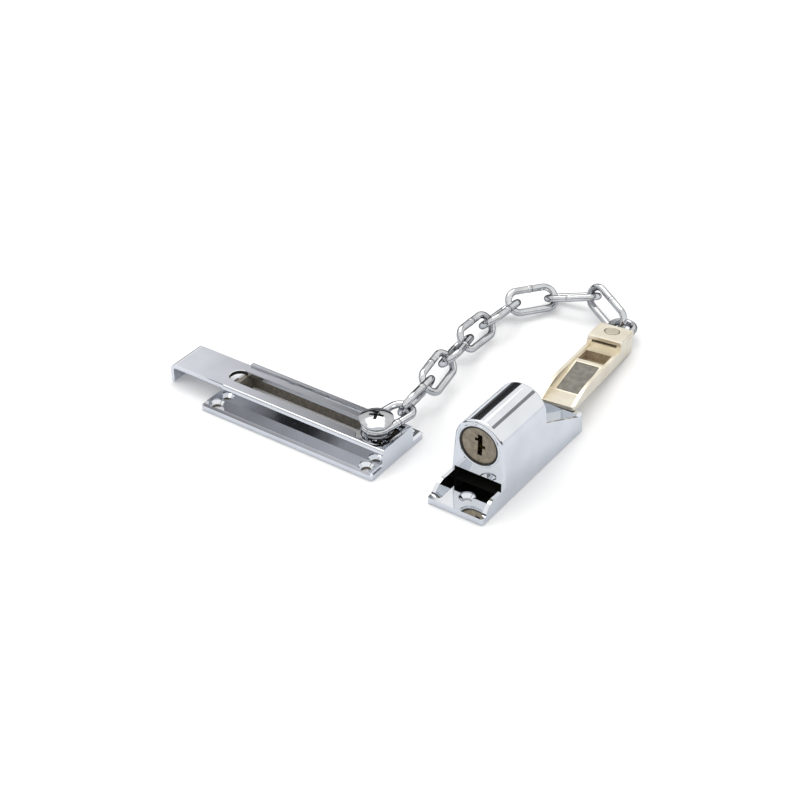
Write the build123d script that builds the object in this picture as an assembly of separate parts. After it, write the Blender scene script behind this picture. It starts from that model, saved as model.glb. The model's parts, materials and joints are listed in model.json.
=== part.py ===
from build123d import *
import os
from math import acos, asin, atan2, cos, degrees, hypot, pi, radians, sin, tan

# Door security chain, laid out on a flat surface as it comes out of its box.
# A slide plate goes on the door, a key lock goes on the frame, and ten links of
# chain run from a stud in the plate's track to a tongue that the lock holds.
# Millimetres. The origin is the middle of the plate's four screw holes on its
# back face, +X runs along the track, +Y to the rear, +Z away from the door.

# Driving dimensions of the door plate
plate_length = 96.0
plate_width = 40.0
plate_thickness = 3.5
plate_corner = 1.2
plate_bevel = 1.0
screw_inset_x = 6.0
screw_inset_y = 4.3
screw_hole = 4.4
screw_head = 7.4
screw_head_land = 0.8

# Driving dimensions of the track on the plate and of the bar that slides in it
track_width = 23.1
track_inset = 6.5
track_lip = 0.9
track_lip_reach = 1.1
track_wall = 1.4
track_ledge = 2.1
track_end_wall = 2.0
track_edge_round = 0.9
track_draft = 2.5
bar_width = 20.1
bar_thickness = 2.0
bar_top = 10.1
bar_play = 0.1
bar_pulled_out = 26.4
bar_tip_inset = 17.0
bar_slot = 9.2
bar_slot_inset = 28.8
finger_lip_clear = 0.6
finger_bend = 1.4
bar_edge = 0.25

# Driving dimensions of the stud and what is stacked on it
stud_inset = 11.5
stud_play = 0.3
post_relief = 0.3
foot_rings = 3
foot_ring_pitch = 1.4
foot_groove_depth = 0.7
foot_width = 13.0
foot_flange = 1.3
foot_bottom = 1.6
foot_play = 0.1
washer_width = 15.0
washer_thickness = 0.7
spring_washer_width = 12.4
spring_washer_thickness = 0.5
spring_washer_split = 1.0
upper_washer_width = 13.2
upper_washer_thickness = 1.2
head_width = 15.6
head_rim = 0.8
head_dome = 1.8
head_recess = 6.6
head_recess_slot = 1.5
head_recess_depth = 1.7
screw_shank = 4.0
screw_shank_length = 7.0
thread_play = 0.05

# Driving dimensions of the chain
link_wire = 3.4
link_length = 29.4
link_width = 14.4
link_play = 0.4
floor_clear = 0.15
link_turns = (80, 97, 100, 104, 92, 90, 60, 14, -23)
link_rolls = (0, -64, 47, -44, 52, -42, 44, -24, 74)
link_heights = (1.0, 0.95, 0.85, 0.65, 0.35, 0.1, 0.05, 0.05)

# Driving dimensions of the tongue
tongue_turn = -83.0
tongue_width = 17.4
tongue_reach = 56.0
tongue_floor = 1.4
rim_height = 6.4
rim_thickness = 1.6
rim_slope_length = 20.0
block_length = 16.2
block_rear = 6.8
block_base = 3.4
block_wall = 0.8
cap_thickness = 2.2
cap_seam = 0.35
slit_width = 12.6
slit_height = 1.1
link_tip = 4.0
window_width = 13.0
window_length = 10.6
window_inset = 5.6
window_skin = 1.0
tray_sunk = 0.8
ramp_inset = 18.6
ramp_length = 25.0
pocket_width = 11.6
pocket_depth = 0.7
pocket_border = 0.8
insert_sunk = 0.25
insert_play = 0.05
rivet_head = 1.2
rest_gap = 0.45
tongue_edge = 0.5
tip_corner = 2.0

# Driving dimensions of the lock casing
lock_length = 84.5
lock_width = 28.2
lock_floor = 3.1
lock_corner = 1.2
lock_inner_width = 23.8
lock_front = 18.0
lock_rear = 54.0
lock_axis_height = 25.0
lock_dome = 12.3
lock_dome_round = 1.3
front_wall_height = 7.6
front_wall_curve = 8.5
front_wall_start = 3.0
rear_wall_height = 8.8
rear_wall = 2.4
rear_pad = 3.8
notch_height = 21.0
tunnel_height = 6.8
lock_screw_inset = 9.8
tongue_over_wall = 2.2
tongue_off_centre = 1.0

# Driving dimensions of the key cylinder and the bolt
cylinder_bore = 19.2
barrel_play = 0.1
barrel_length = 24.0
plug_width = 13.6
plug_play = 0.05
face_width = 18.0
face_thickness = 1.4
face_recess = 0.3
face_dish = 0.9
keyway_width = 2.3
keyway_height = 10.4
keyway_depth = 22.0
keyway_notch = 1.5
wafer_count = 5
wafer_thickness = 1.2
wafer_width = 8.8
wafer_pitch = 3.4
wafer_first = 4.0
wafer_window = 2.9
wafer_play = 0.1
clip_thickness = 0.8
clip_width = 11.4
clip_gap = 2.6
tail_width = 6.4
tail_square = 5.0
cam_width = 13.2
cam_thickness = 2.0
cam_gap = 0.2
crank_reach = 5.0
crank_pin = 2.2
bolt_width = 15.0
bolt_thickness = 3.4
bolt_play = 0.15
yoke_play = 1.2
grub_width = 4.0
grub_bite = 0.6
grub_setback = 12.0

# How far a cutter runs past the face that it opens
over = 1.0

# Sizes that follow from the driving dimensions
screw_rows_x = plate_length - 2 * screw_inset_x
screw_rows_y = plate_width - 2 * screw_inset_y
bar_bottom = bar_top - bar_thickness
track_top = bar_top + bar_play + track_lip
groove_half = bar_width / 2 + bar_play
hollow_half = groove_half - track_ledge
track_half = max(track_width / 2, groove_half + track_wall)
track_start = track_inset - plate_length / 2
track_end = plate_length / 2 - track_end_wall
hollow_start = track_start + track_end_wall
bar_tip = plate_length / 2 - bar_tip_inset
bar_left = -plate_length / 2 - bar_pulled_out
slot_left = bar_left + bar_slot_inset
bar_travel = track_end - bar_tip - bar_play
stud_x = plate_length / 2 - stud_inset
stud_travel = stud_x - hollow_start - hollow_half - stud_play
post_radius = link_width / 2 - link_wire - stud_play
post_bottom = bar_bottom - stud_play
washer_bottom = bar_top + stud_play
spring_washer_bottom = washer_bottom + washer_thickness
link_level = spring_washer_bottom + spring_washer_thickness + stud_play + link_wire / 2
upper_washer_bottom = link_level + link_wire / 2 + stud_play
head_bottom = upper_washer_bottom + upper_washer_thickness
bend_radius = (link_width - link_wire) / 2
bend_offset = (link_length - link_width) / 2
block_front = block_length - block_rear
link_slot = link_wire + 2 * link_play + block_length * sin(radians(link_tip))
block_height = block_base + link_slot + cap_thickness
slot_middle = block_base + link_slot / 2
cap_bottom = block_base + link_slot
tunnel_top = lock_floor + tunnel_height
grub_bottom = tunnel_top + stud_play
grub_length = lock_axis_height - cylinder_bore / 2 + barrel_play + grub_bite - grub_bottom
crank_drop = crank_reach
lock_top = lock_axis_height + lock_dome
face_front = lock_front + face_recess
barrel_front = face_front + face_thickness + plug_play
barrel_rear = barrel_front + barrel_length
clip_front = barrel_rear + cam_gap
cam_front = clip_front + clip_thickness + cam_gap
cam_rear = cam_front + cam_thickness
bolt_front = cam_rear + bolt_play
bolt_rear = bolt_front + bolt_thickness
bore_end = bolt_rear + bolt_play


def block(x0, x1, y0, y1, z0, z1):
    """Rectangular block between two corners."""
    middle = Pos((x0 + x1) / 2, (y0 + y1) / 2, (z0 + z1) / 2)
    return middle * Box(x1 - x0, y1 - y0, z1 - z0)


def post(radius, z0, z1, x=0.0, y=0.0):
    """Upright round post."""
    return Pos(x, y, (z0 + z1) / 2) * Cylinder(radius, z1 - z0)


def shaft(radius, y0, y1):
    """Round shaft along the lock's length, on the key cylinder's axis."""
    return Pos(0, (y0 + y1) / 2, lock_axis_height) * Rot(90, 0, 0) * Cylinder(radius, y1 - y0)


def turned(points):
    """Solid of revolution about Z from (radius, height) points."""
    outline = make_face(Plane.XZ * Polyline(*points, close=True))
    return revolve(outline, Axis.Z)


def countersunk(x, y, top):
    """Cutter for a countersunk wood-screw hole through a plate whose face is at top."""
    cone_depth = (screw_head - screw_hole) / 2
    cone_bottom = top - screw_head_land - cone_depth
    points = [(0, -over), (screw_hole / 2, -over), (screw_hole / 2, cone_bottom)]
    points += [(screw_head / 2, cone_bottom + cone_depth), (screw_head / 2, top + over), (0, top + over)]
    return Pos(x, y, 0) * turned(points)


def make_door_plate():
    """Cast plate with a hollow track; the bar runs between its ledges and its lips."""
    half = plate_length / 2
    flange = block(-half, half, -plate_width / 2, plate_width / 2, 0, plate_thickness)
    flange = fillet(flange.edges().filter_by(Axis.Z), plate_corner)
    flange = chamfer(flange.faces().sort_by(Axis.Z)[-1].edges(), plate_bevel)
    foot_half = track_half + track_top * tan(radians(track_draft))
    corners = [(-foot_half, 0), (foot_half, 0), (track_half, track_top), (-track_half, track_top)]
    side = make_face(Plane.YZ * Polyline(*corners, close=True))
    track = Pos(track_start, 0, 0) * extrude(side, half - track_start)
    track = fillet(track.edges().filter_by(Axis.X).sort_by(Axis.Z)[-2:], track_edge_round)
    plate = flange + track
    opening_half = groove_half - track_lip_reach
    plate -= block(track_start - over, track_end, -groove_half, groove_half,
                   bar_bottom - bar_play, bar_top + bar_play)
    plate -= block(track_start - over, track_end, -opening_half, opening_half, bar_bottom, track_top + over)
    plate -= block(hollow_start, track_end, -hollow_half, hollow_half, -over, bar_top)
    for x in (-screw_rows_x / 2, screw_rows_x / 2):
        for y in (-screw_rows_y / 2, screw_rows_y / 2):
            plate -= countersunk(x, y, plate_thickness)
    return plate


def make_slide_bar():
    """Flat bar, forked at the right and bent down to a finger lip at the left."""
    half = bar_width / 2
    bend_centre = bar_left + finger_bend + bar_thickness
    bar = block(bend_centre, bar_tip, -half, half, bar_bottom, bar_top)
    slot_start = slot_left + bar_slot / 2
    bar -= block(slot_start, bar_tip + over, -bar_slot / 2, bar_slot / 2, bar_bottom - over, bar_top + over)
    bar -= post(bar_slot / 2, bar_bottom - over, bar_top + over, slot_start)
    prong = (bar_width - bar_slot) / 2
    tips = bar.edges().filter_by(Axis.Z).group_by(Axis.X)[-1]
    inner_tips = [edge for edge in tips if abs(edge.center().Y) < half - prong / 2]
    bar = fillet(inner_tips, 0.9 * prong)
    bend_level = bar_bottom - finger_bend
    bend = Cylinder(finger_bend + bar_thickness, bar_width) - Cylinder(finger_bend, bar_width)
    bend = Pos(bend_centre, 0, bend_level) * Rot(90, 0, 0) * bend
    bend &= block(bar_left, bend_centre, -half, half, bend_level, bar_top)
    lip = block(bar_left, bar_left + bar_thickness, -half, half, finger_lip_clear, bend_level)
    bar = bar + bend + lip
    rims = bar.faces().filter_by(Axis.Z).sort_by(Axis.Z)[-1].edges()
    return chamfer([edge for edge in rims if edge.center().X > bend_centre + bar_edge], bar_edge)


def make_stud():
    """Turned stud: a ringed foot guided by the hollow track, and a necked post through the bar's slot."""
    foot = foot_width / 2
    flange = hollow_half - foot_play
    flange_top = foot_bottom + foot_flange
    neck = post_radius - post_relief
    points = [(0, foot_bottom), (flange, foot_bottom), (flange, flange_top)]
    points.append((foot - foot_groove_depth, flange_top))
    ring_gap = foot_ring_pitch / 3
    for ring in range(foot_rings):
        ring_top = post_bottom - (foot_rings - 1 - ring) * foot_ring_pitch
        ring_bottom = ring_top - foot_ring_pitch + ring_gap
        points += [(foot - foot_groove_depth, ring_bottom), (foot, ring_bottom), (foot, ring_top)]
        points.append((foot - foot_groove_depth if ring < foot_rings - 1 else neck, ring_top))
    points += [(neck, bar_top), (post_radius, bar_top), (post_radius, head_bottom), (0, head_bottom)]
    stud = turned(points)
    thread_end = head_bottom - screw_shank_length - over
    return stud - post(screw_shank / 2 + thread_play, thread_end, head_bottom + over)


def make_stud_washer():
    """Plain washer that rides on the bar."""
    top = washer_bottom + washer_thickness
    ring = post(washer_width / 2, washer_bottom, top)
    return ring - post(post_radius + thread_play, washer_bottom - over, top + over)


def make_spring_washer():
    """Split spring washer between the plain washer and the first link."""
    top = spring_washer_bottom + spring_washer_thickness
    ring = post(spring_washer_width / 2, spring_washer_bottom, top)
    ring -= post(post_radius + thread_play, spring_washer_bottom - over, top + over)
    split = spring_washer_split / 2
    return ring - block(0, spring_washer_width, -split, split, spring_washer_bottom - over, top + over)


def make_upper_washer():
    """Plain washer that the screw's head clamps over the first link."""
    top = upper_washer_bottom + upper_washer_thickness
    ring = post(upper_washer_width / 2, upper_washer_bottom, top)
    return ring - post(post_radius + thread_play, upper_washer_bottom - over, top + over)


def make_stud_screw():
    """Oval-headed screw with a cross recess that closes the stud."""
    rim = head_width / 2
    rim_top = head_bottom + head_rim
    dome_radius = (rim ** 2 + head_dome ** 2) / (2 * head_dome)
    dome_centre = rim_top + head_dome - dome_radius
    head = post(rim, head_bottom, rim_top + head_dome)
    head &= Pos(0, 0, dome_centre) * Sphere(dome_radius)
    shank = post(screw_shank / 2, head_bottom - screw_shank_length, head_bottom)
    top = rim_top + head_dome
    recess_floor = top - head_recess_depth
    arm = head_recess / 2
    slot = head_recess_slot / 2
    recess = block(-arm, arm, -slot, slot, recess_floor, top + over)
    recess += block(-slot, slot, -arm, arm, recess_floor, top + over)
    return head + shank - Rot(0, 0, 20) * recess


def make_link():
    """One welded link, flat in XY with its length along X."""
    ring = SlotOverall(link_length - link_wire, link_width - link_wire).wire()
    return sweep((ring ^ 0) * Circle(link_wire / 2), path=ring)


def bearing(turn, climb):
    """Unit vector at a heading from +X and a climb above the floor, in degrees."""
    flat = cos(radians(climb))
    return Vector(flat * cos(radians(turn)), flat * sin(radians(turn)), sin(radians(climb)))


def face_normal(along, roll):
    """Upward normal of a flat piece that lies along a direction and leans right by roll degrees."""
    right = along.cross(Vector(0, 0, 1)).normalized()
    upright = right.cross(along)
    return upright * cos(radians(roll)) + right * sin(radians(roll))


def flattened(vector, normal):
    """Unit vector of what is left of a vector in the plane of a normal."""
    return (vector - normal * vector.dot(normal)).normalized()


def hook_on(previous, along, normal):
    """Place a link through the end of the previous one, and give the point that it swings about."""
    pull = (previous.x_dir + along).normalized()
    out = flattened(pull, previous.z_dir)
    back = flattened(pull * -1, normal)
    wire_point = previous.origin + previous.x_dir * bend_offset + out * bend_radius
    wire_line = previous.z_dir.cross(out)
    apart = wire_line.cross(normal.cross(back)).normalized()
    if apart.dot(pull) < 0:
        apart = apart * -1
    step = apart * (link_wire + link_play)
    middle = wire_point - step - back * bend_radius + along * bend_offset
    return Plane(origin=middle, x_dir=along, z_dir=normal), wire_point - step / 2


def hook_on_at_height(previous, turn, roll, height):
    """Hook a link on at the climb that brings its middle to a wanted height."""
    climb = 0.0
    for _ in range(30):
        along = bearing(turn, climb)
        place = hook_on(previous, along, face_normal(along, roll))
        climb += degrees((height - place[0].origin.Z) / link_length)
    return place


def hook_on_last_two(previous):
    """Hook the last two links on so that the rivet sits where the block rests on the floor."""
    rest = block_rear * sin(radians(tongue_tilt)) + slot_middle * cos(radians(tongue_tilt))
    along = bearing(tongue_turn, tongue_tilt - link_tip)
    climb = 0.0
    for _ in range(40):
        lean = bearing(link_turns[-1], climb)
        ninth = hook_on(previous, lean, face_normal(lean, link_rolls[-1]))
        tenth = hook_on(ninth[0], along, face_normal(along, 0))
        rivet_point = tenth[0].origin + along * bend_offset
        climb += degrees((rest + floor_clear - rivet_point.Z) / (2 * link_length))
    return [ninth, tenth]


def lay_chain():
    """Places of the ten links, and the point that each swings about in the lying plane."""
    along = bearing(link_turns[0], 0)
    stud_point = Vector(stud_x, 0, link_level)
    first = Plane(origin=stud_point + along * bend_offset, x_dir=along, z_dir=Vector(0, 0, 1))
    places = [(first, stud_point)]
    steepest = max(abs(roll) for roll in link_rolls[3:])
    lying = bend_radius * sin(radians(steepest)) + link_wire / 2 + floor_clear
    for turn, roll, share in zip(link_turns[1:-1], link_rolls[1:-1], link_heights[1:]):
        height = lying + share * (link_level - lying)
        places.append(hook_on_at_height(places[-1][0], turn, roll, height))
    return places + hook_on_last_two(places[-1][0])


def lay_tongue(last_link):
    """Frame of the tongue: on the rivet's axis, at the middle of the link slot."""
    along = bearing(tongue_turn, tongue_tilt)
    rivet_point = last_link.origin + last_link.x_dir * bend_offset
    return Plane(origin=rivet_point, x_dir=along, z_dir=face_normal(along, 0))


tip_at = block_front + tongue_reach
wall_contact = tip_at + block_rear - tongue_over_wall
tongue_tilt = degrees(asin((rear_wall_height + rest_gap - floor_clear) / wall_contact))
chain_places = lay_chain()
tongue_place = lay_tongue(chain_places[-1][0])
tip_point = tongue_place.origin + tongue_place.x_dir * tip_at
lock_x = tip_point.X - tongue_off_centre
lock_y = tip_point.Y + tongue_over_wall * cos(radians(tongue_turn + 90)) - lock_length
lock_place = Pos(lock_x, lock_y, 0)


def tray_outline():
    """Side view of the tray: shallow by the block, down a ramp, then flat to the tip."""
    ramp_start = block_front + ramp_inset
    floor_top = tongue_floor - slot_middle
    shallow = rim_height - tray_sunk - slot_middle
    return Polyline(
        (block_front, shallow),
        (ramp_start, shallow),
        (ramp_start + ramp_length, floor_top),
        (tip_at + over, floor_top),
        (tip_at + over, cap_bottom),
        (block_front, cap_bottom),
        close=True,
    )


def on_ramp(border, bottom, top, half):
    """Block laid along the tray's ramp, a border short of both its ends."""
    fall = rim_height - tray_sunk - tongue_floor
    slope = hypot(ramp_length, fall)
    ramp_top = Pos(block_front + ramp_inset, 0, rim_height - tray_sunk - slot_middle)
    return ramp_top * Rot(0, degrees(atan2(fall, ramp_length)), 0) * block(
        border, slope - border, -half, half, bottom, top)


def make_tongue():
    """Cast tongue: a tray with sloped rims, and a hollow block that takes the last link."""
    half = tongue_width / 2
    body = block(-block_rear, tip_at, -half, half, -slot_middle, -slot_middle + rim_height)
    body = fillet(body.edges().filter_by(Axis.Z).group_by(Axis.X)[-1], tip_corner)
    body += block(-block_rear, block_front, -half, half, -slot_middle, cap_bottom - slot_middle)
    body = fillet(body.edges().filter_by(Axis.Z).group_by(Axis.X)[0], tongue_edge)
    floor_top = -slot_middle + tongue_floor
    inner = half - rim_thickness
    body -= extrude(make_face(Plane.XZ * tray_outline()), inner, both=True)
    slope_start = (tip_at - rim_slope_length, -slot_middle + rim_height)
    slope_end = (tip_at, floor_top)
    drop = slope_start[1] - floor_top
    slope_radius = (rim_slope_length ** 2 + drop ** 2) / (2 * drop)
    sag = slope_radius - (slope_radius ** 2 - rim_slope_length ** 2 / 4) ** 0.5
    slope = ThreePointArc(slope_start, (tip_at - rim_slope_length / 2, slope_start[1] - sag), slope_end)
    above = Polyline(
        slope_end,
        (tip_at + over, floor_top),
        (tip_at + over, cap_bottom),
        (tip_at - rim_slope_length, cap_bottom),
        slope_start,
    )
    body -= extrude(make_face(Plane.XZ * (slope + above)), tongue_width, both=True)
    slot_half = half - block_wall
    slot_end = link_width / 2 + link_play
    body -= block(-block_rear - over, slot_end, -slot_half, slot_half, -link_slot / 2, cap_bottom)
    body -= post(post_radius, -slot_middle - over, cap_bottom)
    window_start = block_front + window_inset
    body -= block(window_start, window_start + window_length, -window_width / 2, window_width / 2,
                  -slot_middle + window_skin, cap_bottom)
    body -= block(slot_end - over, block_front + over, -slit_width / 2, slit_width / 2,
                  cap_bottom - slot_middle - slit_height, cap_bottom)
    body -= on_ramp(pocket_border, -pocket_depth, over, pocket_width / 2)
    return tongue_place.location * body


def make_tongue_insert():
    """Hard plate let into the tray's pocket, where the bolt comes down on the tongue."""
    half = pocket_width / 2 - insert_play
    plate = on_ramp(pocket_border + insert_play, -pocket_depth, -insert_sunk, half)
    return tongue_place.location * plate


def make_tongue_cap():
    """Plate that closes the tongue's block over the last link."""
    half = tongue_width / 2
    bottom = cap_bottom - slot_middle
    cap = block(-block_rear, block_front, -half, half, bottom, bottom + cap_thickness)
    cap = fillet(cap.edges().filter_by(Axis.Z), tongue_edge)
    cap = chamfer(cap.faces().sort_by(Axis.Z)[0].edges(), cap_seam)
    cap = chamfer(cap.faces().sort_by(Axis.Z)[-1].edges(), cap_seam)
    cap -= post(post_radius, bottom - over, bottom + cap_thickness + over)
    return tongue_place.location * cap


def make_tongue_rivet():
    """Solid rivet through the cap, the last link and the block."""
    bottom = -slot_middle
    top = block_height - slot_middle
    edge = 0.3 * rivet_head
    points = [(0, bottom), (post_radius, bottom), (post_radius, top)]
    points += [(post_radius - edge, top + edge), (0, top + edge)]
    return tongue_place.location * turned(points)


def lock_section():
    """Cross-section of the lock: drafted sides that run tangent into a round top."""
    half = lock_width / 2
    reach = hypot(half, lock_axis_height)
    touch = acos(lock_dome / reach) + atan2(-lock_axis_height, half)
    side_x = lock_dome * cos(touch)
    side_z = lock_axis_height + lock_dome * sin(touch)
    foot = Polyline((-side_x, side_z), (-half, 0), (half, 0), (side_x, side_z))
    dome = ThreePointArc((side_x, side_z), (0, lock_top), (-side_x, side_z))
    return make_face(Plane.XZ * (foot + dome))


def lock_side_view():
    """Side view of the lock: low swept walls in front, tall body, sloped walls behind."""
    curve_end = front_wall_start + front_wall_curve
    rise = front_wall_height - lock_floor
    bulge = (front_wall_start + 0.29 * front_wall_curve, lock_floor + 0.71 * rise)
    sweep_up = ThreePointArc((front_wall_start, lock_floor), bulge, (curve_end, front_wall_height))
    above = lock_top + over
    outline = Polyline(
        (curve_end, front_wall_height),
        (lock_front, front_wall_height),
        (lock_front, above),
        (lock_rear, above),
        (lock_rear, notch_height),
        (lock_length - rear_pad, rear_wall_height),
        (lock_length, rear_wall_height),
        (lock_length, 0),
        (0, 0),
        (0, lock_floor),
        (front_wall_start, lock_floor),
    )
    return make_face(Plane.YZ * (sweep_up + outline))


def dome_rims(body):
    """Outline edges of the tall body's front and rear faces, above the low walls."""
    rims = []
    for edge in body.edges():
        middle = edge.center()
        on_face = min(abs(middle.Y - lock_front), abs(middle.Y - lock_rear)) < 0.01
        if on_face and middle.Z > front_wall_height + 0.01 and edge.length > lock_dome / 4:
            rims.append(edge)
    return [edge for edge in rims if abs(edge.center().X) > 1 or edge.center().Z > lock_axis_height]


def make_lock_body():
    """Cast casing: screw recess and tunnel in front, key bore above, pocket behind."""
    body = extrude(lock_section(), -lock_length)
    body = fillet(body.edges().filter_by(lambda e: abs(e.center().Z) < lock_top / 2
                                         and e.bounding_box().size.Z > lock_floor), lock_corner)
    body &= extrude(lock_side_view(), lock_width, both=True)
    body = fillet(dome_rims(body), lock_dome_round)
    inner = lock_inner_width / 2
    body -= block(-inner, inner, -over, lock_front, lock_floor, lock_top)
    body -= block(-inner, inner, lock_front - over, lock_rear + over, lock_floor, tunnel_top)
    body -= block(-inner, inner, lock_rear, lock_length - rear_wall, lock_floor, lock_top)
    body -= block(-inner, inner, lock_rear, lock_length + over, rear_wall_height, lock_top)
    body -= shaft(cylinder_bore / 2, lock_front - over, bore_end)
    bolt_half = bolt_width / 2 + bolt_play
    body -= block(-bolt_half, bolt_half, bolt_front - bolt_play, bore_end,
                  tunnel_top - over, lock_axis_height)
    body -= post(grub_width / 2 + thread_play, tunnel_top - over, lock_axis_height,
                 0, lock_front + grub_setback)
    body -= countersunk(0, lock_screw_inset, lock_floor)
    body -= countersunk(0, lock_length - lock_screw_inset - rear_wall, lock_floor)
    return lock_place * body


def make_lock_barrel():
    """Fixed sleeve of the key cylinder, with a dimple for its grub screw."""
    barrel = shaft(cylinder_bore / 2 - barrel_play, barrel_front, barrel_rear)
    barrel -= shaft(plug_width / 2 + plug_play, barrel_front - over, barrel_rear + over)
    grub_top = grub_bottom + grub_length + thread_play
    barrel -= post(grub_width / 2 + thread_play, tunnel_top, grub_top, 0, lock_front + grub_setback)
    return lock_place * barrel


def make_grub_screw():
    """Grub screw that pins the barrel, reached through the tunnel's roof."""
    bottom = grub_bottom
    grub = post(grub_width / 2, bottom, bottom + grub_length, 0, lock_front + grub_setback)
    socket = RegularPolygon(grub_width / 4, 6)
    socket = extrude(Pos(0, lock_front + grub_setback, bottom) * socket, grub_width / 2)
    return lock_place * (grub - socket)


def make_lock_plug():
    """Turning plug: dished face, keyway, wafer slots and a square tail for the cam."""
    plug = shaft(face_width / 2, face_front, face_front + face_thickness)
    plug += shaft(plug_width / 2, face_front + face_thickness, barrel_rear)
    plug += shaft(tail_width / 2, barrel_rear, cam_front)
    square = tail_square / 2
    plug += block(-square, square, cam_front, cam_rear, lock_axis_height - square, lock_axis_height + square)
    dish_edge = face_width / 2 - 1
    dish_radius = (dish_edge ** 2 + face_dish ** 2) / (2 * face_dish)
    plug -= Pos(0, face_front + face_dish - dish_radius, lock_axis_height) * Sphere(dish_radius)
    key = keyway_width / 2
    tall = keyway_height / 2
    key_end = face_front + keyway_depth
    plug -= block(-key, key, lock_front, key_end, lock_axis_height - tall, lock_axis_height + tall)
    ward = keyway_notch
    plug -= block(-key - ward, 0, lock_front, key_end, lock_axis_height + ward, lock_axis_height + 2 * ward)
    plug -= block(0, key + ward, lock_front, key_end, lock_axis_height - ward, lock_axis_height)
    room = wafer_width / 2 + wafer_play
    for start in wafer_starts():
        plug -= block(-room, room, start - wafer_play, start + wafer_thickness + wafer_play,
                      lock_axis_height - plug_width, lock_axis_height + plug_width)
    return lock_place * plug


def wafer_starts():
    """Front faces of the wafers along the plug."""
    first = barrel_front + wafer_first
    return [first + index * wafer_pitch for index in range(wafer_count)]


def make_lock_wafers():
    """Row of wafer tumblers, each with its own window height, lifted as a key lifts them."""
    edge = plug_width / 2 - wafer_play
    tall = (edge ** 2 - (wafer_width / 2) ** 2) ** 0.5
    window = wafer_window / 2
    wafers = Part()
    for index, start in enumerate(wafer_starts()):
        lift = (index * 2 % wafer_count - wafer_count // 2) * 0.1 * tall
        wafer = block(-wafer_width / 2, wafer_width / 2, start, start + wafer_thickness,
                      lock_axis_height - tall, lock_axis_height + tall)
        wafer -= block(-window, window, start - over, start + wafer_thickness + over,
                       lock_axis_height + lift - 0.6 * tall, lock_axis_height + lift + 0.6 * tall)
        wafers += wafer
    return lock_place * wafers


def make_plug_clip():
    """Open snap ring on the plug's tail that keeps it in the barrel."""
    clip = shaft(clip_width / 2, clip_front, clip_front + clip_thickness)
    clip -= shaft(tail_width / 2 + plug_play, clip_front - over, cam_front + over)
    gap = clip_gap / 2
    clip -= block(-gap, gap, clip_front - over, cam_front + over, lock_axis_height, lock_top)
    return lock_place * clip


def make_lock_cam():
    """Disc on the plug's square tail, with a crank pin for the bolt."""
    cam = shaft(cam_width / 2, cam_front, cam_rear)
    square = tail_square / 2 + plug_play
    cam -= block(-square, square, cam_front - over, cam_rear + over,
                 lock_axis_height - square, lock_axis_height + square)
    pin = Pos(crank_reach, 0, 0) * shaft(crank_pin / 2, cam_rear - cam_thickness / 2, bolt_rear)
    return lock_place * (cam + pin)


def make_locking_bolt():
    """Upright bolt with a crosswise slot that the crank pin drives down."""
    half = bolt_width / 2
    top = lock_axis_height + crank_pin / 2 + yoke_play + crank_pin
    bolt = block(-half, half, bolt_front, bolt_rear, tunnel_top, top)
    bolt &= shaft(cylinder_bore / 2 - bolt_play, bolt_front - over, bolt_rear + over) + block(
        -half, half, bolt_front, bolt_rear, tunnel_top, lock_axis_height)
    slot_half = crank_pin / 2 + yoke_play
    bolt -= block(-slot_half, crank_reach + slot_half, bolt_front - over, bolt_rear + over,
                  lock_axis_height - slot_half, lock_axis_height + slot_half)
    return lock_place * bolt


stud_place = Pos(stud_x, 0, 0)
nodes = {
    "door_plate": make_door_plate(),
    "slide_bar": make_slide_bar(),
    "stud": stud_place * make_stud(),
    "stud_washer": stud_place * make_stud_washer(),
    "stud_spring_washer": stud_place * make_spring_washer(),
    "stud_upper_washer": stud_place * make_upper_washer(),
    "stud_screw": stud_place * make_stud_screw(),
    "tongue": make_tongue(),
    "tongue_insert": make_tongue_insert(),
    "tongue_cap": make_tongue_cap(),
    "tongue_rivet": make_tongue_rivet(),
    "lock_body": make_lock_body(),
    "lock_barrel": make_lock_barrel(),
    "barrel_grub_screw": make_grub_screw(),
    "lock_plug": make_lock_plug(),
    "lock_wafers": make_lock_wafers(),
    "plug_clip": make_plug_clip(),
    "lock_cam": make_lock_cam(),
    "locking_bolt": make_locking_bolt(),
}
for number, (place, pivot) in enumerate(chain_places, start=1):
    nodes[f"link_{number:02d}"] = place.location * make_link()

os.makedirs("parts", exist_ok=True)
for name, solid in nodes.items():
    export_step(solid, f"parts/{name}.step")
    print(name, round(solid.volume, 1))

# Where each piece turns or slides, for whoever joins the pieces
for number, (place, pivot) in enumerate(chain_places, start=1):
    print(f"pivot link_{number:02d}", [round(v, 4) for v in (*pivot, 0.0, 0.0, 1.0)])
print("pivot tongue", [round(v, 4) for v in (*tongue_place.origin, *tongue_place.z_dir)])
print("pivot plug", [round(v, 4) for v in (lock_x, lock_y + lock_front, lock_axis_height)])
print("lock corner", round(lock_x, 4), round(lock_y, 4), "tongue tilt", round(tongue_tilt, 3))
print("bar travel", round(bar_travel, 3), "stud travel", round(stud_travel, 3))
print("bolt ratio mm per radian", round(crank_drop / (pi / 2), 5))
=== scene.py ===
# %% [markdown]
# # A door security chain
# A door chain has three groups of pieces: a slide plate for the door, a length of
# chain, and a key lock for the frame with the tongue that it holds. Their solids come
# ready-made as a frame, in metres, with every piece where it lies. This lesson dresses
# that frame: it gives each piece its metal, adds small pieces that only the eye needs,
# and lights the set like a catalogue picture.

# %% Load the frame and keep its box
import json
import math

import bmesh
import bpy
import numpy as np
from mathutils import Matrix, Vector


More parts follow.
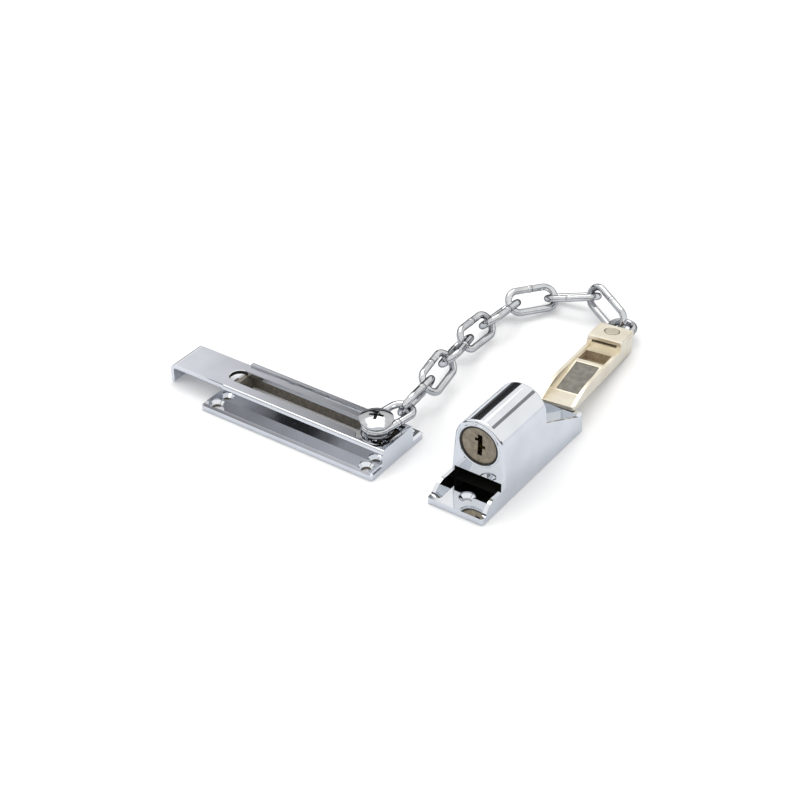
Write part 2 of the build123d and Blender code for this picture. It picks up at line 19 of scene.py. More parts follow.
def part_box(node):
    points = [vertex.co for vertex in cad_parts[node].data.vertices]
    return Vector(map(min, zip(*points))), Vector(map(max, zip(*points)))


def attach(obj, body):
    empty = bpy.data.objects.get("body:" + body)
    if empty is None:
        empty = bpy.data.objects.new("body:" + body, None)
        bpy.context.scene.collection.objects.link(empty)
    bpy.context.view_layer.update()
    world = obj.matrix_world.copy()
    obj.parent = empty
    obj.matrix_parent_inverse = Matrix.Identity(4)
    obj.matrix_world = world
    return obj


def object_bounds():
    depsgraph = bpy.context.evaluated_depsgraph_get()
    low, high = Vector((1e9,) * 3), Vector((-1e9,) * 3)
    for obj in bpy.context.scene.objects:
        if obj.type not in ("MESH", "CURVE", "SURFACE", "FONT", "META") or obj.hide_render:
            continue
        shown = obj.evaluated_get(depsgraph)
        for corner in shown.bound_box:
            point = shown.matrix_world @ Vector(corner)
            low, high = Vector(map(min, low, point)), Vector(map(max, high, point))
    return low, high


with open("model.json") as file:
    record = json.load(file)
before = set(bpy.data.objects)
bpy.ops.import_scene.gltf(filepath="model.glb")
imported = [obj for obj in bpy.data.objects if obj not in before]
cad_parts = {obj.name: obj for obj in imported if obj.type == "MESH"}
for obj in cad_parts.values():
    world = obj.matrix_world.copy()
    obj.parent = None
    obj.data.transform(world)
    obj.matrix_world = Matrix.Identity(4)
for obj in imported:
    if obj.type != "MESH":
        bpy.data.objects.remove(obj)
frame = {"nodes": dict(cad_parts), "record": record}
cad_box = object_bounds()
nodes = frame["nodes"]
scene = bpy.context.scene
print("pieces in the frame:", len(nodes), "box:", [tuple(round(v, 4) for v in c) for c in cad_box])

# %% [markdown]
# The camera comes first, because every later choice is judged through it. The picture
# was taken from the right and from above with a long lens, so parallel edges stay almost
# parallel. A camera in Blender looks along its own -Z, so a tracking quaternion turns it
# towards the point that the picture is centred on.

# %% Camera
PICTURE_WIDTH = 800
FOCAL_PIXELS = 1800
AZIMUTH, ELEVATION = math.radians(34.7), math.radians(34.8)
LOOK_AT = Vector((0.0228, 0.0380, 0.0))
CAMERA_DISTANCE = 0.832

camera_data = bpy.data.cameras.new("catalogue_camera")
camera_data.sensor_width = 36.0
camera_data.lens = FOCAL_PIXELS / PICTURE_WIDTH * camera_data.sensor_width
camera_data.clip_start, camera_data.clip_end = 0.01, 50.0
camera = bpy.data.objects.new("catalogue_camera", camera_data)
scene.collection.objects.link(camera)
towards_camera = Vector((
    math.sin(AZIMUTH) * math.cos(ELEVATION),
    -math.cos(AZIMUTH) * math.cos(ELEVATION),
    math.sin(ELEVATION),
))
camera.location = LOOK_AT + towards_camera * CAMERA_DISTANCE
camera.rotation_mode = "QUATERNION"
camera.rotation_quaternion = (-towards_camera).to_track_quat("-Z", "Y")
scene.camera = camera
scene.view_settings.view_transform = "Standard"
print("lens", round(camera_data.lens, 1), "mm")

# %% [markdown]
# Every finish below is a small node tree. Writing links by hand hides what a tree does,
# so two helpers keep each tree to a few readable lines: one adds a node and sets its
# values, the other joins an output to an input. All patterns read Object coordinates,
# which stay fixed to the metal when a piece moves.

# %% Node helpers
def new_finish(name):
    """An empty material with its shader and a source of Object coordinates."""
    finish = bpy.data.materials.new(name)
    finish.use_nodes = True
    tree = finish.node_tree
    shader = tree.nodes["Principled BSDF"]
    place = tree.nodes.new("ShaderNodeTexCoord")
    return finish, tree, shader, place.outputs["Object"]


def add(tree, kind, **values):
    """A node of a kind, with its properties and its input values set by name."""
    node = tree.nodes.new(kind)
    for key, value in values.items():
        if hasattr(node, key):
            setattr(node, key, value)
        else:
            node.inputs[key.replace("_", " ")].default_value = value
    return node


def join(tree, output, target):
    """Join an output socket to an input socket."""
    tree.links.new(output, target)


def blend_between(tree, amount, dark, light, low=0.0, high=1.0):
    """Colour output that runs from dark to light as amount goes from low to high."""
    ramp = tree.nodes.new("ShaderNodeValToRGB")
    ramp.color_ramp.elements[0].position, ramp.color_ramp.elements[0].color = low, (*dark, 1)
    ramp.color_ramp.elements[1].position, ramp.color_ramp.elements[1].color = high, (*light, 1)
    join(tree, amount, ramp.inputs["Fac"])
    return ramp.outputs["Color"]


def spread(tree, amount, low, high):
    """Number output that maps amount from 0..1 to low..high."""
    rescale = add(tree, "ShaderNodeMapRange", To_Min=low, To_Max=high)
    join(tree, amount, rescale.inputs["Value"])
    return rescale.outputs["Result"]


# %% [markdown]
# Bright chrome is a mirror, and its look is mostly what it reflects. Plated castings are
# still never perfect: the metal under the plating leaves a slow ripple, and handling
# leaves a faint haze. A slow noise moves the tint and the haze, and a very low bump
# gives the ripple that breaks up long reflections.

# %% Plated metal
def plated(name, dark, light, haze, ripple_scale, ripple, grain_scale=900.0, outline_shade_tint=1.0):
    """Mirror plating with an uneven tint, patches of haze, a slow ripple and an outline tint that, set below
    1, paints shade along the outline.
    """
    finish, tree, shader, place = new_finish(name)
    shader.inputs["Metallic"].default_value = 1.0
    # An outline tint below 1 darkens the metal at grazing angles: painted shade along the outline.
    shader.inputs["Specular Tint"].default_value = (outline_shade_tint, outline_shade_tint, outline_shade_tint, 1)
    slow = add(tree, "ShaderNodeTexNoise", Scale=ripple_scale, Detail=2.0, Roughness=0.5)
    fine = add(tree, "ShaderNodeTexNoise", Scale=grain_scale, Detail=3.0, Roughness=0.6)
    join(tree, place, slow.inputs["Vector"])
    join(tree, place, fine.inputs["Vector"])
    join(tree, blend_between(tree, slow.outputs["Fac"], dark, light, 0.3, 0.7), shader.inputs["Base Color"])
    join(tree, spread(tree, fine.outputs["Fac"], *haze), shader.inputs["Roughness"])
    bump = add(tree, "ShaderNodeBump", Strength=ripple, Distance=0.0004)
    join(tree, slow.outputs["Fac"], bump.inputs["Height"])
    join(tree, bump.outputs["Normal"], shader.inputs["Normal"])
    return finish


bright_chrome = plated("bright_chrome", (0.74, 0.76, 0.79), (0.82, 0.84, 0.87), (0.02, 0.07), 60.0, 0.08)
# The chain and the screw get a dark outline tint: painted shade along their edges.
chain_chrome = plated("chain_chrome", (0.56, 0.57, 0.58), (0.72, 0.73, 0.74), (0.05, 0.14), 140.0, 0.15,
                      outline_shade_tint=0.0)
screw_chrome = plated("screw_chrome", (0.48, 0.49, 0.50), (0.60, 0.61, 0.62), (0.06, 0.12), 200.0, 0.20,
                      outline_shade_tint=0.2)
print("plated finishes:", bright_chrome.name, chain_chrome.name, screw_chrome.name)

# %% [markdown]
# Inside the track and its screw holes, at the closed end of the bar's slot, in the lock's tunnel and in the
# screw's recess, the chrome turns to a dull dark colour: painted shade for hollows that little light reaches.
# Plating current hardly reaches into a deep hollow, so dull brown metal is a likely reason for the hollows,
# and the slot's cut end is given the same finish to match. The chrome serves outside. A box of comparisons on
# Object coordinates decides which of the two a point gets, and the chrome and the painted shade are mixed by
# it.

# %% Chrome with painted shade inside
def inside(tree, place, low, high):
    """1 where a point lies between two corners of a box, 0 elsewhere."""
    split = add(tree, "ShaderNodeSeparateXYZ")
    join(tree, place, split.inputs["Vector"])
    answer = None
    for axis, bottom, top in zip("XYZ", low, high):
        for bound, test in ((bottom, "GREATER_THAN"), (top, "LESS_THAN")):
            compare = add(tree, "ShaderNodeMath", operation=test)
            join(tree, split.outputs[axis], compare.inputs[0])
            compare.inputs[1].default_value = bound
            if answer is None:
                answer = compare.outputs["Value"]
                continue
            both = add(tree, "ShaderNodeMath", operation="MULTIPLY")
            join(tree, answer, both.inputs[0])
            join(tree, compare.outputs["Value"], both.inputs[1])
            answer = both.outputs["Value"]
    return answer


def shaded_inside(name, outside, boxes, painted_shade, turn=None):
    """A finish that turns to a painted shade colour inside boxes, which a matrix may turn."""
    finish = outside.copy()
    finish.name = name
    tree = finish.node_tree
    place = next(n for n in tree.nodes if n.type == "TEX_COORD").outputs["Object"]
    box_place = place
    if turn is not None:
        turned = add(tree, "ShaderNodeMapping", vector_type="TEXTURE", Location=turn.to_translation(),
                     Rotation=turn.to_euler())
        join(tree, place, turned.inputs["Vector"])
        box_place = turned.outputs["Vector"]
    chrome = tree.nodes["Principled BSDF"]
    grain = add(tree, "ShaderNodeTexNoise", Scale=700.0, Detail=4.0)
    join(tree, place, grain.inputs["Vector"])
    # This dull dark shader is painted shade, not a finish of the metal.
    shade_shader = add(tree, "ShaderNodeBsdfPrincipled", Metallic=0.4, Roughness=0.6)
    brown = blend_between(tree, grain.outputs["Fac"], [0.6 * c for c in painted_shade], painted_shade, 0.3, 0.7)
    join(tree, brown, shade_shader.inputs["Base Color"])
    mix = add(tree, "ShaderNodeMixShader")
    amount = None
    for low, high in boxes:
        within = inside(tree, box_place, low, high)
        if amount is not None:
            either = add(tree, "ShaderNodeMath", operation="MAXIMUM")
            join(tree, amount, either.inputs[0])
            join(tree, within, either.inputs[1])
            within = either.outputs["Value"]
        amount = within
    join(tree, amount, mix.inputs["Fac"])
    join(tree, chrome.outputs["BSDF"], mix.inputs[1])
    join(tree, shade_shader.outputs["BSDF"], mix.inputs[2])
    join(tree, mix.outputs["Shader"], tree.nodes["Material Output"].inputs["Surface"])
    return finish


plate_low, plate_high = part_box("door_plate")
bar_low, bar_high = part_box("slide_bar")
casing_low, casing_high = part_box("lock_body")
bolt_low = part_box("locking_bolt")[0]
screw_low, screw_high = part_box("stud_screw")

BAR_THICKNESS, UNDER_GAP = 0.0020, 0.0002
HOLLOW_START, HOLLOW_HALF, HOLLOW_LOW = 0.0084, 0.0081, -0.001
STRIP_HALF, STRIP_LOW = 0.0056, 0.001
END_MARGIN = 0.0005
HOLE_INSET, BORE_HALF, BORE_LOW, BORE_TOP = (0.0060, 0.0043), 0.0023, 0.00001, 0.00125
under_bar = bar_high.z - BAR_THICKNESS - UNDER_GAP
hollow_start = plate_low.x + HOLLOW_START
track_boxes = [
    ((hollow_start, -HOLLOW_HALF, HOLLOW_LOW), (plate_high.x - END_MARGIN, HOLLOW_HALF, under_bar)),
    ((plate_low.x + END_MARGIN, -STRIP_HALF, STRIP_LOW), (hollow_start, STRIP_HALF, under_bar + UNDER_GAP)),
]
for hole_x in (plate_low.x + HOLE_INSET[0], plate_high.x - HOLE_INSET[0]):
    for hole_y in (plate_low.y + HOLE_INSET[1], plate_high.y - HOLE_INSET[1]):
        track_boxes.append(((hole_x - BORE_HALF, hole_y - BORE_HALF, BORE_LOW),
                            (hole_x + BORE_HALF, hole_y + BORE_HALF, BORE_TOP)))
# The hollow under the track and the four screw bores are painted dark brown as shade.
track_chrome_and_shade = shaded_inside("track_chrome_and_shade", bright_chrome, track_boxes, (0.26, 0.23, 0.19))

SLOT_INSET, SLOT_SHADE, SLOT_OVER = 0.0288, 0.0060, 0.0002
SLOT_HALF, SLOT_SIDE = 0.0046, 0.0001
SLOT_FOOT, SLOT_RIM = 0.00005, 0.0003
slot_start = bar_low.x + SLOT_INSET
slot_end = ((slot_start - SLOT_OVER, -SLOT_HALF - SLOT_SIDE, bar_high.z - BAR_THICKNESS + SLOT_FOOT),
            (slot_start + SLOT_SHADE, SLOT_HALF + SLOT_SIDE, bar_high.z - SLOT_RIM))
# The closed end of the bar's slot is painted near black as shade.
bar_chrome_and_shade = shaded_inside("bar_chrome_and_shade", bright_chrome, [slot_end], (0.030, 0.027, 0.024))

TUNNEL_HALF, TUNNEL_FRONT, TUNNEL_REAR, TUNNEL_OVER = 0.01195, 0.0181, 0.0535, 0.0001
LOCK_FLOOR = 0.0031
casing_middle = (casing_low.x + casing_high.x) / 2
tunnel = ((casing_middle - TUNNEL_HALF, casing_low.y + TUNNEL_FRONT, LOCK_FLOOR - TUNNEL_OVER),
          (casing_middle + TUNNEL_HALF, casing_low.y + TUNNEL_REAR, bolt_low.z + TUNNEL_OVER))
# The lock's tunnel is painted near black as shade.
casing_chrome_and_shade = shaded_inside("casing_chrome_and_shade", bright_chrome, [tunnel], (0.012, 0.011, 0.010))

RECESS_HALF, RECESS_DEPTH, RECESS_RIM = 0.0026, 0.0018, 0.0004
screw_middle = (screw_low + screw_high) / 2
recess = ((screw_middle.x - RECESS_HALF, screw_middle.y - RECESS_HALF, screw_high.z - RECESS_DEPTH),
          (screw_middle.x + RECESS_HALF, screw_middle.y + RECESS_HALF, screw_high.z - RECESS_RIM))
# The screw head's recess is painted near black as shade.
screw_chrome_and_shade = shaded_inside("screw_chrome_and_shade", screw_chrome, [recess], (0.035, 0.034, 0.033))
print("chrome with bare insides:", [f.name for f in (track_chrome_and_shade, bar_chrome_and_shade, casing_chrome_and_shade, screw_chrome_and_shade)])

# %% [markdown]
# The tongue is satin nickel: warm, almost cream, and soft in its highlights. The hard plate let into its tray
# is bare steel that has gone dull and dark. Both use the plated finish with other tints, and with much more
# haze than chrome has. The window and the slit are boxes in the tongue's own frame, which starts at the rivet
# and runs along the tray; inside them the nickel turns to a brown painted shade.

# %% Satin nickel and dull steel
SATIN_GRAIN = 1400.0
satin_nickel = plated("satin_nickel", (0.84, 0.77, 0.62), (0.95, 0.89, 0.76), (0.30, 0.44), 90.0, 0.06,
                      SATIN_GRAIN)
insert_steel = plated("insert_steel", (0.17, 0.16, 0.14), (0.25, 0.24, 0.21), (0.40, 0.55), 300.0, 0.10,
                      SATIN_GRAIN)
swing = next(joint for joint in frame["record"]["behaviour"]["joints"] if joint["child"] == "tongue")
rivet_point, rivet_axis = Vector(swing["pos_m"]), Vector(swing["axis"]).normalized()
insert_low, insert_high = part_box("tongue_insert")
tongue_along = (insert_low + insert_high) / 2 - rivet_point
tongue_along = (tongue_along - rivet_axis * tongue_along.dot(rivet_axis)).normalized()
tongue_turn = Matrix((tongue_along, rivet_axis.cross(tongue_along), rivet_axis)).transposed().to_4x4()
tongue_turn.translation = rivet_point
window = ((0.0149, -0.0066, -0.0060), (0.0257, 0.0066, -0.0006))
slit = ((0.0060, -0.0064, -0.0030), (0.0093, 0.0064, 0.0026))
rivet_nickel = plated("rivet_nickel", (0.62, 0.56, 0.45), (0.74, 0.68, 0.56), (0.30, 0.44), 200.0, 0.10,
                      SATIN_GRAIN)
# Inside the window and the slit the tongue is painted brown as shade.
tongue_nickel_and_shade = shaded_inside("tongue_nickel_and_shade", satin_nickel, [window, slit], (0.55, 0.45, 0.31),
                            tongue_turn)
print("satin finish:", tongue_nickel_and_shade.name, "dull finish:", insert_steel.name)

# %% [markdown]
# The key plug is turned on a lathe, so its face carries fine rings about its axis. A wave
# texture in ring form makes them once its coordinates are moved to the plug's axis.

# %% Turned nickel for the key plug
plug_low, plug_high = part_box("lock_plug")
plug_axis = (plug_low + plug_high) / 2


def turned_metal(name, dark, light, haze, centre, rings):
    """Metal with lathe rings about an axis that runs along Y through centre."""
    finish, tree, shader, place = new_finish(name)
    shader.inputs["Metallic"].default_value = 1.0
    centred = add(tree, "ShaderNodeMapping", vector_type="POINT")
    centred.inputs["Location"].default_value = (-centre.x, -centre.y, -centre.z)
    join(tree, place, centred.inputs["Vector"])
    wave = add(tree, "ShaderNodeTexWave", wave_type="RINGS", rings_direction="Y", Scale=rings, Distortion=1.5,
               Detail=2.0)
    join(tree, centred.outputs["Vector"], wave.inputs["Vector"])
    cloud = add(tree, "ShaderNodeTexNoise", Scale=350.0, Detail=3.0)
    join(tree, place, cloud.inputs["Vector"])
    join(tree, blend_between(tree, cloud.outputs["Fac"], dark, light, 0.3, 0.7), shader.inputs["Base Color"])
    join(tree, spread(tree, wave.outputs["Fac"], *haze), shader.inputs["Roughness"])
    bump = add(tree, "ShaderNodeBump", Strength=0.15, Distance=0.0002)
    join(tree, wave.outputs["Fac"], bump.inputs["Height"])
    join(tree, bump.outputs["Normal"], shader.inputs["Normal"])
    return finish


plug_nickel = turned_metal("plug_nickel", (0.22, 0.185, 0.135), (0.38, 0.325, 0.245), (0.22, 0.36),
                           plug_axis, 700.0)
print("plug axis at", tuple(round(v, 4) for v in plug_axis))

# %% [markdown]
# The pieces inside the lock are hardly seen, but other views and open poses show them.
# A bare casting is grey and grainy, spring steel is dark with an oily sheen, and stamped
# wafers are brass.

# %% Inner metals
zinc_grey = plated("zinc_grey", (0.34, 0.35, 0.37), (0.48, 0.49, 0.51), (0.38, 0.55), 500.0, 0.5)
spring_steel = plated("spring_steel", (0.26, 0.27, 0.29), (0.40, 0.41, 0.43), (0.22, 0.40), 400.0, 0.3)
wafer_brass = plated("wafer_brass", (0.62, 0.45, 0.18), (0.76, 0.60, 0.30), (0.20, 0.34), 600.0, 0.2)

FINISHES = {
    "bright_chrome": bright_chrome,
    "chain_chrome": chain_chrome,
    "satin_nickel": satin_nickel,
    "insert_steel": insert_steel,
    "plug_nickel": plug_nickel,
    "zinc_grey": zinc_grey,
    "spring_steel": spring_steel,
    "wafer_brass": wafer_brass,
}
for row in frame["record"]["subparts"]:
    mesh = nodes[row["node"]].data
    mesh.materials.clear()
    mesh.materials.append(FINISHES[row["material_slot"]])
for node, finish in (("door_plate", track_chrome_and_shade), ("slide_bar", bar_chrome_and_shade), ("lock_body", casing_chrome_and_shade),
                     ("stud_screw", screw_chrome_and_shade), ("tongue", tongue_nickel_and_shade), ("tongue_rivet", rivet_nickel)):
    nodes[node].data.materials[0] = finish

# %% [markdown]
# Chain links are bent from wire and butt-welded in the middle of one leg, which leaves a
# low collar there. Each link lies at its own angle, so the collar's place is worked out
# from the link's own points: the longest spread of the points is the link's length and
# the next is its width. The collar sits on the upper leg. It is one profile spun round
# the wire, a full turn with its ends merged.

# %% Weld collars
WIRE_RADIUS = 0.0017
COLLAR_HALF = 0.0012
COLLAR_RISE = 0.00014


def link_axes(node):
    """Middle, length direction and width direction of a link, from its points."""
    mesh = nodes[node].data
    points = np.empty(len(mesh.vertices) * 3)
    mesh.vertices.foreach_get("co", points)
    points = points.reshape(-1, 3)
    middle = (points.max(axis=0) + points.min(axis=0)) / 2
    spreads = np.linalg.svd(points - points.mean(axis=0), full_matrices=False)[2]
    width = Vector(spreads[1])
    return Vector(middle), Vector(spreads[0]), width if width.z > 0 else -width


def spun(name, profile, axis, centre, steps):
    """A closed ring: profile points spun once about an axis through centre."""
    ring = bmesh.new()
    corners = [ring.verts.new(point) for point in profile]
    edges = [ring.edges.new(pair) for pair in zip(corners, corners[1:] + corners[:1])]
    bmesh.ops.spin(ring, geom=corners + edges, cent=centre, axis=axis, angle=2 * math.pi, steps=steps,
                   use_merge=True)
    bmesh.ops.recalc_face_normals(ring, faces=ring.faces)
    mesh = bpy.data.meshes.new(name)
    ring.to_mesh(mesh)
    ring.free()
    for face in mesh.polygons:
        face.use_smooth = True
    piece = bpy.data.objects.new(name, mesh)
    scene.collection.objects.link(piece)
    return piece


for number in range(1, 11):
    link = f"link_{number:02d}"
    middle, along, across = link_axes(link)
    half_width = max(abs((Vector(v.co) - middle).dot(across)) for v in nodes[link].data.vertices)
    leg = middle + across * (half_width - WIRE_RADIUS)
    profile = []
    for share, rise in ((-1, -0.3), (-1, 0.1), (-0.5, 0.8), (0, 1), (0.5, 0.8), (1, 0.1), (1, -0.3)):
        profile.append(leg + along * COLLAR_HALF * share + across * (WIRE_RADIUS + COLLAR_RISE * rise))
    collar = spun(f"weld_collar_{number:02d}", profile, along, leg, 32)
    collar.data.materials.append(chain_chrome)
    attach(collar, link)
print("weld collars on ten links")

# %% [markdown]
# A thin bright bezel is pressed round the key plug. It hides the joint between the casing
# and the cylinder, so the plug seems to sit in a ring. Its section is a small rounded
# step, spun round the key plug's axis.

# %% Bezel round the key plug
BEZEL_INNER, BEZEL_OUTER, BEZEL_ROUND = 0.00962, 0.01060, 0.0003
BEZEL_RISE, BEZEL_SUNK = 0.00045, -0.0002
PLUG_FACE_INSET = 0.018
RING_STEPS = 96
axis_point = Vector((plug_axis.x, casing_low.y + PLUG_FACE_INSET, plug_axis.z))


def plug_ring(name, section):
    """A section of radii and rises, spun round the key plug's axis at the casing's face."""
    profile = [axis_point + Vector((0, -rise, radius)) for radius, rise in section]
    return spun(name, profile, (0, 1, 0), axis_point, RING_STEPS)


bezel = plug_ring("plug_bezel", (
    (BEZEL_INNER, BEZEL_SUNK), (BEZEL_INNER, 0.6 * BEZEL_RISE), (BEZEL_INNER + BEZEL_ROUND, BEZEL_RISE),
    (BEZEL_OUTER - BEZEL_ROUND, BEZEL_RISE), (BEZEL_OUTER, 0.4 * BEZEL_RISE), (BEZEL_OUTER, BEZEL_SUNK)))
bezel.data.materials.append(bright_chrome)
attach(bezel, "fixed_plates")
print("bezel:", len(bezel.data.polygons), "faces")

# %% [markdown]
# Two joints show as fine dark rings: the gap between the turning plug and its sleeve, and the seam round the
# rivet's hammered end. The ring in the plug's gap is painted shade put where the gap holds only shade, and
# the ring round the rivet is a dark seam line. A joint that narrow reflects nothing, so each is a thin ring
# in a matt dark finish.

# %% Dark rings in the joints
joint_and_shade_black = plated("joint_and_shade_black", (0.010, 0.009, 0.008), (0.030, 0.026, 0.021), (0.55, 0.75), 900.0, 0.1)
joint_and_shade_black.node_tree.nodes["Principled BSDF"].inputs["Metallic"].default_value = 0.0
GAP_INNER, GAP_OUTER = 0.00865, 0.00958
GAP_TOP, GAP_FOOT = -0.00008, -0.00024
# This ring in the plug's gap is painted shade.
plug_gap = plug_ring("plug_gap", (
    (GAP_INNER, GAP_TOP), (GAP_OUTER, GAP_TOP), (GAP_OUTER, GAP_FOOT), (GAP_INNER, GAP_FOOT)))
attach(plug_gap, "fixed_plates")

RIVET_RADIUS, RIVET_RISE = 0.0035, 0.00036
SEAM_INNER, SEAM_OUTER = RIVET_RADIUS + 0.00002, RIVET_RADIUS + 0.00032
SEAM_FOOT, SEAM_TOP = -0.0001, 0.00005
rivet_top = max((v.co - rivet_point).dot(rivet_axis) for v in nodes["tongue_rivet"].data.vertices)
cap_top = rivet_point + rivet_axis * (rivet_top - RIVET_RISE)
section = ((SEAM_INNER, SEAM_FOOT), (SEAM_INNER, SEAM_TOP), (SEAM_OUTER, SEAM_TOP), (SEAM_OUTER, SEAM_FOOT))
profile = [cap_top + tongue_along * radius + rivet_axis * rise for radius, rise in section]
rivet_seam = spun("rivet_seam", profile, rivet_axis, cap_top, 64)
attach(rivet_seam, "tongue")
for ring in (plug_gap, rivet_seam):
    ring.data.materials.append(joint_and_shade_black)
print("dark rings:", plug_gap.name, rivet_seam.name)

# %% [markdown]
# The set lies on a plain white table. The floor is a real surface so that it catches the
# soft shadow under the metal. It is white to the eye, and a cooler, darker white in
# reflections, where bare white would wash out the chrome. The world is plain white, as a
# light tent is.

# %% Floor and world
FLOOR_HALF = 2.5
FLOOR_GAP = 0.0002

floor_mesh = bpy.data.meshes.new("white_table")
shape = bmesh.new()
bmesh.ops.create_grid(shape, x_segments=1, y_segments=1, size=FLOOR_HALF)
bmesh.ops.translate(shape, verts=shape.verts, vec=(LOOK_AT.x, LOOK_AT.y, cad_box[0].z - FLOOR_GAP))
shape.to_mesh(floor_mesh)
shape.free()
floor = bpy.data.objects.new("white_table", floor_mesh)
scene.collection.objects.link(floor)

table_white, tree, shader, _ = new_finish("table_white")
shader.inputs["Roughness"].default_value = 0.9
ray = add(tree, "ShaderNodeLightPath")
tint = blend_between(tree, ray.outputs["Is Glossy Ray"], (0.93, 0.93, 0.93), (0.70, 0.72, 0.76))
join(tree, tint, shader.inputs["Base Color"])
floor_mesh.materials.append(table_white)

world = bpy.data.worlds.new("light_tent")
world.use_nodes = True
world.node_tree.nodes["Background"].inputs["Color"].default_value = (1, 1, 1, 1)
world.node_tree.nodes["Background"].inputs["Strength"].default_value = 1.0
scene.world = world
print("floor at z", round(cad_box[0].z - FLOOR_GAP, 5))

# %% [markdown]
# Chrome in an all-white tent would vanish. Photographers put black and grey cards just
# outside the picture so that edges and curves have something dark to reflect, and the
# dark room shows as a band above the table's edge. Each card here is plain: one fades from
# white to dark, one is grey with a soft black band, one fades from dark to light grey, and
# the others are even. They glow at a set level, are hidden from the camera and cast no
# shadow, so only the metal sees them.

# %% Cards that only reflections see
def card_paper(name, stops, direction, low, high):
    """Paper whose grey follows stops (position, level) along a direction in space."""
    paper, tree, shader, place = new_finish(name)
    shader.inputs["Base Color"].default_value = (0, 0, 0, 1)
    shader.inputs["Specular IOR Level"].default_value = 0.0
    shader.inputs["Emission Strength"].default_value = 1.0
    reach = add(tree, "ShaderNodeVectorMath", operation="DOT_PRODUCT")
    join(tree, place, reach.inputs[0])
    reach.inputs[1].default_value = direction
    share = add(tree, "ShaderNodeMapRange", From_Min=low, From_Max=high)
    join(tree, reach.outputs["Value"], share.inputs["Value"])
    ramp = tree.nodes.new("ShaderNodeValToRGB")
    for number, (position, level) in enumerate(stops):
        fresh = number >= len(ramp.color_ramp.elements)
        stop = ramp.color_ramp.elements.new(position) if fresh else ramp.color_ramp.elements[number]
        stop.position = position
        stop.color = (level, level, min(1.0, level * 1.04), 1)
    join(tree, share.outputs["Result"], ramp.inputs["Fac"])
    join(tree, ramp.outputs["Color"], shader.inputs["Emission Color"])
    return paper


def only_in_reflections(name, shape, paper):
    """Turn a bmesh into a staged piece that the camera and the shadows pass by."""
    mesh = bpy.data.meshes.new(name)
    shape.to_mesh(mesh)
    shape.free()
    mesh.materials.append(paper)
    piece = bpy.data.objects.new(name, mesh)
    scene.collection.objects.link(piece)
    piece.visible_camera = False
    piece.visible_shadow = False
    piece.visible_diffuse = False
    return piece


def card(name, centre, right, up, paper):
    """A flat card from its centre and its two half-size vectors."""
    sheet = bmesh.new()
    centre, right, up = Vector(centre), Vector(right), Vector(up)
    corners = [centre + right * i + up * j for i, j in ((-1, -1), (1, -1), (1, 1), (-1, 1))]
    sheet.faces.new([sheet.verts.new(corner) for corner in corners])
    return only_in_reflections(name, sheet, paper)


rear_right = Vector((0.809, 0.588, 0.0))
rear_up = Vector((0.276, -0.380, 0.883))
rear_middle = Vector((-0.623, 0.857, 0.563))
FADE_STOPS = ((0.0, 0.90), (1.0, 0.15))
RIB_STOPS = ((0.2, 0.35), (0.4, 0.02), (0.6, 0.02), (0.8, 0.35))
FLANGE_STOPS = ((0.0, 0.25), (1.0, 0.60))
CARD_ENDS = (-0.71, -0.51)
fade_paper = card_paper("fade_card_paper", FADE_STOPS, rear_right, -0.20, 0.06)
rib_paper = card_paper("rib_card_paper", RIB_STOPS, (1, 0, 0), *CARD_ENDS)
flange_paper = card_paper("flange_card_paper", FLANGE_STOPS, (1, 0, 0), *CARD_ENDS)
black_paper = card_paper("black_card_paper", ((0.0, 0.015), (1.0, 0.05)), (0, 0, 1), 0.0, 1.0)
grey_paper = card_paper("grey_card_paper", ((0.0, 0.24), (1.0, 0.28)), (0, 0, 1), 0.0, 1.0)
room_paper = card_paper("dark_room_paper", ((0.0, 0.40), (0.4, 0.06), (1.0, 0.12)), (0, 0, 1), 0.02, 0.40)

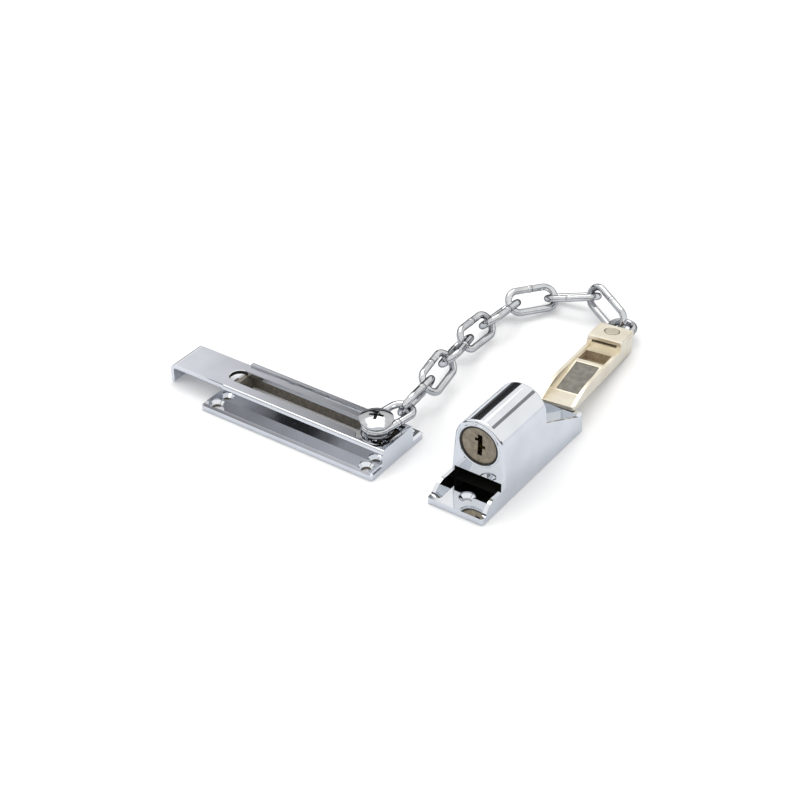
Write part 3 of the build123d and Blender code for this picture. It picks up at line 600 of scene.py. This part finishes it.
ROOM_RADIUS, ROOM_DEPTH, ROOM_MIDDLE = 1.6, 0.36, 0.20
DOORWAY = (25, 62)
room = bmesh.new()
bmesh.ops.create_cone(room, cap_ends=False, segments=96, radius1=ROOM_RADIUS, radius2=ROOM_RADIUS,
                      depth=ROOM_DEPTH, matrix=Matrix.Translation((LOOK_AT.x, LOOK_AT.y, ROOM_MIDDLE)))


def bearing(face):
    """Angle of a face's middle about the vertical, in degrees from +X."""
    middle = face.calc_center_median()
    return math.degrees(math.atan2(middle.y, middle.x))


doorway = [face for face in room.faces if DOORWAY[0] < bearing(face) < DOORWAY[1]]
bmesh.ops.delete(room, geom=doorway, context="FACES")
cards = [
    card("fade_card", rear_middle - 0.10 * rear_right + 0.17 * rear_up, 0.20 * rear_right,
         0.14 * rear_up, fade_paper),
    card("black_card", rear_middle + 0.02 * rear_right - 0.10 * rear_up, 0.09 * rear_right,
         0.10 * rear_right + 0.22 * rear_up, black_paper),
    card("grey_card", (0.38, 0.87, 0.79), (0.03, -0.12, 0.12), (-0.095, 0.0, 0.037), grey_paper),
    card("rib_card", (-0.605, -0.833, 0.635), (0.115, -0.028, 0.021), (0, 0.056, 0.061), rib_paper),
    card("flange_card", (-0.605, -0.710, 0.770), (0.115, -0.024, 0.026), (0, 0.060, 0.066), flange_paper),
    only_in_reflections("dark_room", room, room_paper),
]
print("cards:", [c.name for c in cards])

# %% [markdown]
# Two large soft lamps do the work of a softbox over the table and a fill from the left.
# Large lamps give long soft highlights on round metal and keep the shadows pale. The fill
# stands where the cards are, so the metal is kept from seeing it.

# %% Lamps
def softbox(name, place, aim, size, power):
    """A square area lamp that points at a place."""
    lamp = bpy.data.lights.new(name, "AREA")
    lamp.size = size
    lamp.energy = power
    holder = bpy.data.objects.new(name, lamp)
    holder.location = place
    holder.rotation_mode = "QUATERNION"
    holder.rotation_quaternion = (Vector(aim) - Vector(place)).to_track_quat("-Z", "Y")
    scene.collection.objects.link(holder)
    return holder


lamps = [
    softbox("overhead_box", (-0.25, 0.35, 0.9), LOOK_AT, 0.7, 3.0),
    softbox("left_fill", (-0.8, -0.5, 0.6), LOOK_AT, 0.5, 1.5),
]
lamps[1].visible_glossy = False
print("lamps:", [lamp.name for lamp in lamps])

# %% [markdown]
# The last cell ends the script.

# %% End
print("end of the scene script")
